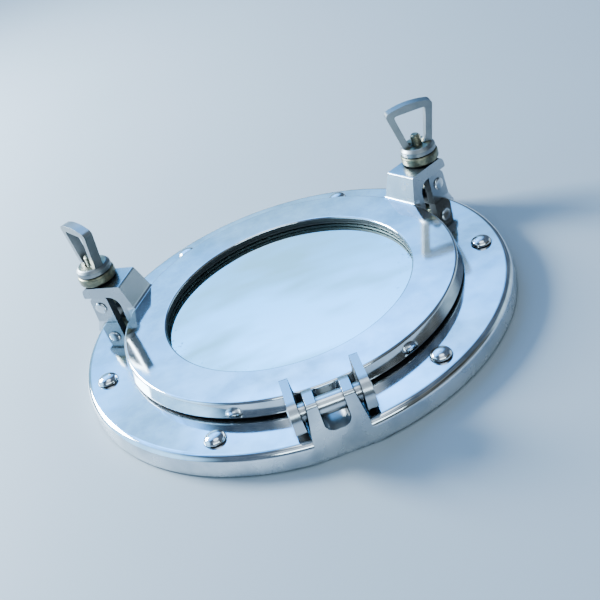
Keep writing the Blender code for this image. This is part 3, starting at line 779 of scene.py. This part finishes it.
def pivot_pin(side, material):
    """A dog's pivot pin, its ends hammered into low heads."""
    head_radius, head_height = PIVOT_HEAD
    turns = [radians(angle) for angle in range(0, 91, 10)]
    upper = [(head_radius * sin(turn), PIVOT_PIN_HALF + head_height * cos(turn)) for turn in turns]
    upper.append((PIVOT_PIN_RADIUS, PIVOT_PIN_HALF))
    node = side + "_pivot_pin"
    pin = turned(node + "_fine", both_ends(upper), 48, False, pivot_frame(side) @ Z_TO_T)
    place_piece(pin, material, "base", node)


# ---------------------------------------------------------------- the door


def ear_half_width(z):
    share = (UPRIGHT_TOP - z) / (UPRIGHT_TOP - DOOR_BOTTOM)
    return EAR_TOP_HALF + (EAR_ROOT_HALF - EAR_TOP_HALF) * share


def door_ear(sign):
    """A hinge ear, thicker at its root and round in front of the pin."""
    sunk, top, front = (v / MM for v in (DOOR_TOP - 0.1 * MM, UPRIGHT_TOP, FRONT_FLAT_Y))
    corners = [
        (-84, 13.6, 0),
        (-84, sunk, 0),
        (-86.4, sunk, 1.5),
        (-88.2, top, 1.6),
        (front, top, 8.4),
        (front, 18.6, 1.4),
        (-108, 13.8, 2),
    ]
    ear = outlined("door_ear", [rounded(corners, 10)], 2 * EAR_ROOT_HALF, OUTLINE_TO_YZ)
    taper(ear, 0, ear_half_width)
    bevel(ear, 1.0 * MM, 4)
    ear.location.x = sign * EAR_MIDDLE
    return ear


def lug_half_width(z):
    share = (LUG_TOP - z) / (LUG_TOP - DOOR_TOP)
    return LUG_HALF + (LUG_ROOT_HALF - LUG_HALF) * share


def door_lug(side):
    """A forked lug that reaches out over the clevis."""
    sunk, top, underside, outer = (v / MM for v in (DOOR_TOP - 0.1 * MM, LUG_TOP, LUG_BOTTOM, LUG_OUTER))
    corners = [
        (80, 12.9, 0),
        (80, sunk, 0),
        (87.4, sunk, 2.5),
        (92.5, top, 1.2),
        (outer, top, 3.0),
        (outer, underside, 0.8),
        (95.4, underside, 7.0),
        (94.6, 12.9, 1.5),
    ]
    lug = outlined("door_lug", [rounded(corners, 8)], 2 * LUG_HALF, Z_TO_T)
    taper(lug, 1, lug_half_width)
    half = EYE_SLOT / 2
    beyond = LUG_OUTER + 5 * MM
    slot = [(beyond, -half), (beyond, half), *arc(PIVOT_RADIUS, 0, half, 90, 270, 16)]
    place = Matrix.Translation((0, 0, (LUG_TOP + LUG_BOTTOM) / 2))
    combine(lug, outlined("fork_slot", [slot], 12 * MM, place))
    bevel(lug, 1.2 * MM, 4)
    lug.matrix_world = radial_frame(DOG_ANGLES[side])
    return lug


def rough_and_shaded_on_door(centre, normal):
    """The opening's wall, the lugs' undersides and fork slots, and the ears' inner cheeks: rough, and
    painted dark as shade with some grime.
    """
    if centre.xy.length < RECESS_RADIUS + 0.2 * MM:
        return centre.z < DOOR_TOP - 0.9 * MM
    if centre.y < HINGE_SIDE_Y:
        return centre.x * normal.x < 0 and abs(normal.x) > 0.6
    if centre.xy.length < DOOR_RADIUS + 0.5 * MM:
        return False
    point, turned_normal = in_a_dog(centre, normal)
    in_fork = abs(point.y) < EYE_SLOT / 2 + 0.2 * MM and abs(normal.z) < 0.5 and point.z > LUG_BOTTOM
    return in_fork or turned_normal.z < -0.35


def door_ring(materials):
    """The glass's frame with its ears and lugs in one casting, drilled from the back."""
    back, bottom, top, lip = (v / MM for v in (DOOR_BACK, DOOR_BOTTOM, DOOR_TOP, LIP_BOTTOM))
    opening, recess, spigot = (v / MM for v in (OPENING_RADIUS, RECESS_RADIUS, SPIGOT_RADIUS))
    corners = [
        (opening, top, 1.0),
        (DOOR_TOP_RADIUS / MM, top, 1.5),
        (DOOR_RADIUS / MM, bottom, 1.0),
        (spigot, bottom, 0.3),
        (spigot, back, 0.3),
        (recess, back, 0.3),
        (recess, lip, 0.3),
        (opening, lip, 0.3),
    ]
    ring = turned("door_ring_fine", rounded(corners, 8))
    for sign in (-1, 1):
        combine(ring, door_ear(sign), "UNION")
    for side in SIDES:
        combine(ring, door_lug(side), "UNION")
    combine(ring, cylinder("ear_bore", BORE_RADIUS, THROUGH, HINGE_AXIS))
    drill_for_screws(ring, "retaining", RETAINING_HOLE_RADIUS, RETAINING_HOLE_LENGTH, DOOR_BACK, 24)
    place_piece(ring, materials["polished_aluminium"], "door", "door_ring")
    # wall, undersides, slots and cheeks painted near-black: painted shade and grime
    cover_faces(ring, materials["dark_casting"], rough_and_shaded_on_door)


def glass_gasket(material):
    low, high = (corner.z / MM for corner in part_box("glass_gasket"))
    corners = [(66.6, high, 0.3), (72.7, high, 0.3), (72.7, low, 0.3), (66.6, low, 0.5)]
    gasket = turned("glass_gasket_fine", rounded(corners))
    place_piece(gasket, material, "door", "glass_gasket")


def round_plate(node, material):
    """The mirror or its backing board: a disc that fills its CAD node's box, with rounded edges."""
    low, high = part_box(node)
    edge = 0.5 * MM
    profile = [(0, high.z), *arc(high.x - edge, high.z - edge, edge, 90, 0, 5)]
    profile += [*arc(high.x - edge, low.z + edge, edge, 0, -90, 5), (0, low.z)]
    place_piece(turned(node + "_fine", profile, closed=False), material, "door", node)


def retaining_ring(material):
    back, front = (corner.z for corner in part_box("retaining_ring"))
    low, high = back / MM, front / MM
    corners = [(66, high, 0.3), (79, high, 0.3), (79, low, 0.3), (66, low, 0.3)]
    ring = turned("retaining_ring_fine", rounded(corners, 3))
    drill_for_screws(ring, "retaining", RETAINING_HOLE_RADIUS, RETAINING_HOLE_LENGTH, back, 24)
    place_piece(ring, material, "door", "retaining_ring")


# ---------------------------------------------------------------- the dogs


def thread_radius(height, angle):
    """The stud's radius: plain at first, then with a thread, and narrowing at its end."""
    phase = (height / THREAD_PITCH - angle / (2 * pi)) % 1.0
    groove = THREAD_DEPTH * (0.5 + 0.5 * cos(2 * pi * phase))
    fade = min(1.0, max(0.0, (height - THREAD_START) / THREAD_PITCH))
    end = max(0.0, height - (STUD_LENGTH - 1.2 * MM)) * 0.8
    return STUD_RADIUS - groove * fade - end


def threaded_stud(name, matrix):
    """A stud whose upper part has a rolled thread, made as a height field round its axis."""
    rows = int((STUD_LENGTH - THREAD_START) / THREAD_PITCH * 8)
    heights = [0.0, THREAD_START - THREAD_PITCH]
    heights += [THREAD_START + (STUD_LENGTH - THREAD_START) * row / rows for row in range(rows + 1)]
    around = 40
    angles = [2 * pi * step / around for step in range(around)]
    work = bmesh.new()
    rings = []
    for height in heights:
        ring = []
        for angle in angles:
            radius = thread_radius(height, angle)
            ring.append(work.verts.new((radius * cos(angle), radius * sin(angle), height)))
        rings.append(ring)
    for lower, upper in zip(rings, rings[1:]):
        for step in range(around):
            following = (step + 1) % around
            work.faces.new((lower[step], lower[following], upper[following], upper[step]))
    work.faces.new(list(reversed(rings[0])))
    work.faces.new(rings[-1])
    return add_work(name, work, matrix)


def swing_bolt(side, material):
    """A threaded stud on an eye that turns on the pivot pin."""
    node = side + "_swing_bolt"
    across = pivot_frame(side) @ Z_TO_T
    bolt = threaded_stud(node + "_fine", pivot_frame(side))
    eye = cylinder("eye", EYE_RADIUS, EYE_SLOT - 2 * GAP, across, 48)
    bevel(eye, 0.6 * MM)
    combine(bolt, eye, "UNION")
    combine(bolt, cylinder("eye_bore", PIVOT_BORE_RADIUS, THROUGH, across, 32))
    place_piece(bolt, material, side + "_dog", node)


def washer(side, material):
    radius, bore, top = (v / MM for v in (WASHER_RADIUS, STUD_RADIUS + GAP, WASHER_THICKNESS))
    corners = [(bore, top, 0.2), (radius, top, 1.3), (radius, 0, 1.3), (bore, 0, 0.2)]
    ring = turned(side + "_washer_fine", rounded(corners), 96, matrix=pivot_frame(side, WASHER_SEAT))
    place_piece(ring, material, side + "_washer_seat", side + "_washer")


def nut_loop():
    """The nut's loop: a tapering frame with soft edges and a bowed top bar."""
    height, half, bow_radius = (v / MM for v in (LOOP_HEIGHT, LOOP_HALF, LOOP_BOW_RADIUS))
    bow = [(x, y, 0) for x, y in arc(0, height - bow_radius, bow_radius, 76, 104, 12)]
    outer = [(-8.0, 3.0, 0), (8.0, 3.0, 0), (half, height - 2, 2.4), *bow, (-half, height - 2, 2.4)]
    inner = [(-4.8, 5.2, 1.4), (4.8, 5.2, 1.4), (9.1, 24.6, 1.2), (-9.1, 24.6, 1.2)]
    loop = outlined("loop", [rounded(outer, 8), rounded(inner)], LOOP_DEPTH, Z_TO_T)
    bevel(loop, 1.1 * MM, 4)
    return loop


def shaded_and_soiled_on_nut(centre, normal):
    """The nut's dish and its flat top round the bolt, below the loop's opening, which are painted dark as
    shade and dirt.
    """
    near_top = DISH_BOTTOM - 0.2 * MM < centre.z < NUT_HEIGHT + 0.4 * MM
    return near_top and centre.xy.length < 8.0 * MM and normal.z > 0.3


def loop_nut(side, materials):
    """A nut dished round its bolt, with its loop."""
    node = side + "_loop_nut"
    radius, top = NUT_RADIUS / MM, NUT_HEIGHT / MM
    corners = [(0, top, 0), (8.2, top, 1.6), (radius, 2.6, 1.2), (radius, 0, 0.5), (0, 0, 0)]
    nut = turned(node + "_fine", rounded(corners), 96, closed=False)
    combine(nut, nut_loop(), "UNION")
    dish = [(0, 7 * MM), (5.4 * MM, 7 * MM), (DISH_RADIUS, DISH_BOTTOM), (0, DISH_BOTTOM)]
    combine(nut, turned("dish", dish, 48, closed=False))
    combine(nut, cylinder("nut_bore", STUD_RADIUS + GAP, NUT_BORE_LENGTH, steps=48))
    nut.matrix_world = pivot_frame(side, NUT_SEAT) @ Matrix.Rotation(radians(NUT_ANGLES[side]), 4, "Z")
    place_piece(nut, materials["satin_aluminium"], side + "_nut", node)
    # the dish and top take the dark brass: painted shade and dirt
    cover_faces(nut, materials["tarnished_brass"], shaded_and_soiled_on_nut)


# ---------------------------------------------------------------- the studio


def camera():
    data = bpy.data.cameras.new("camera")
    data.sensor_width = 36.0
    data.angle = CAMERA_VIEW
    data.clip_start = 0.01
    look = (CAMERA_AIM - CAMERA_AT).to_track_quat("-Z", "Y").to_matrix().to_4x4()
    roll = Matrix.Rotation(CAMERA_ROLL, 4, "Z")
    bpy.context.scene.camera = add_object("camera", data, Matrix.Translation(CAMERA_AT) @ look @ roll)


def floor(material):
    plane = cuboid("studio_floor", (-3, -3, -0.02), (3, 3, -0.0003))
    plane.data.materials.append(material)


def area_light(name, position, size, power, colour):
    """A rectangular light that faces the origin."""
    data = bpy.data.lights.new(name, "AREA")
    data.shape = "RECTANGLE"
    data.size, data.size_y = size
    data.energy = power
    data.color = colour
    place = Vector(position)
    turn = (-place).to_track_quat("-Z", "Y").to_matrix().to_4x4()
    add_object(name, data, Matrix.Translation(place) @ turn)


def facing(tree, direction, azimuth, elevation, wide, narrow):
    """1 within a narrow angle of a direction and 0 outside the wide one, all in degrees."""
    flat = cos(radians(elevation))
    toward = Vector((flat * cos(radians(azimuth)), flat * sin(radians(azimuth)), sin(radians(elevation))))
    dot = add_node(tree, "ShaderNodeVectorMath", {0: direction, 1: toward}, operation="DOT_PRODUCT")
    outer, inner = cos(radians(wide)), cos(radians(narrow))
    return between(tree, dot.outputs["Value"], outer, inner, interpolation_type="SMOOTHSTEP")


def world():
    """A dim room with marbled pale blue light at the back and left, and a dark corner at front right."""
    room = bpy.data.worlds.new("room")
    room.use_nodes = True
    bpy.context.scene.world = room
    tree = room.node_tree
    direction = add_node(tree, "ShaderNodeTexCoord").outputs["Generated"]
    streaks = grain(tree, stretched(tree, direction, (1.6, 1.6, 8.0), (0.0, 0.25, 0.3)), 3.0)
    marbling = ramp(tree, streaks, [(0.44, 0.0), (0.60, 0.9)])
    height = add_node(tree, "ShaderNodeSeparateXYZ", {"Vector": direction}).outputs["Z"]
    higher = between(tree, height, sin(radians(25)), sin(radians(36)))
    clear = mix(tree, higher, (0.10, 0.25, 0.37), (0.25, 1.15, 2.90))
    pale = mix(tree, marbling, clear, (0.20, 0.46, 0.74))
    clutter = grain(tree, stretched(tree, direction, (1, 1, 4)), 2.0, 1.0)
    dark = ramp(tree, clutter, [(0.36, (0.008, 0.009, 0.009)), (0.66, (0.075, 0.085, 0.090))])
    areas = (  # azimuth, elevation, wide and narrow angles, and colour; a later one covers an earlier
        (112, 33, 46, 10, pale),
        (172, 14, 40, 12, (0.36, 0.80, 1.25)),
        (16, 4, 26, 10, (0.22, 0.33, 0.42)),
        (0, 88, 18, 8, (0.80, 1.0, 1.2)),
        (-90, 54, 32, 12, (0.30, 0.37, 0.44)),
        (-46, 8, 50, 38, dark),
    )
    light = mix(tree, marbling, (0.020, 0.033, 0.055), (0.06, 0.08, 0.11))
    for *area, colour in areas:
        light = mix(tree, facing(tree, direction, *area), light, colour)
    tree.links.new(light, tree.nodes["Background"].inputs["Color"])
    tree.nodes["Background"].inputs["Strength"].default_value = 3.0


def studio(materials):
    camera()
    world()
    floor(materials["studio_floor"])
    area_light("key", (-0.70, 0.57, 0.46), (0.35, 0.35), 58.0, (0.74, 0.90, 1.0))
    area_light("front", (0.0, -1.3, 0.85), (1.6, 0.3), 11.0, (0.62, 0.86, 1.0))


def main():
    makers = (
        polished_aluminium,
        satin_aluminium,
        plated_screw,
        bright_steel,
        tarnished_brass,
        mirror_glass,
        black_rubber,
        backing_board,
        dark_casting,
        studio_floor,
    )
    materials = {maker.__name__: maker() for maker in makers}
    studio(materials)
    base_ring(materials)
    door_seal(materials["black_rubber"])
    screws(materials)
    hinge_pin(materials["bright_steel"])
    door_ring(materials)
    glass_gasket(materials["black_rubber"])
    round_plate("mirror_glass", materials["mirror_glass"])
    round_plate("backing_plate", materials["backing_board"])
    retaining_ring(materials["bright_steel"])
    for side in SIDES:
        pivot_pin(side, materials["bright_steel"])
        swing_bolt(side, materials["tarnished_brass"])
        washer(side, materials["tarnished_brass"])
        loop_nut(side, materials)


main()
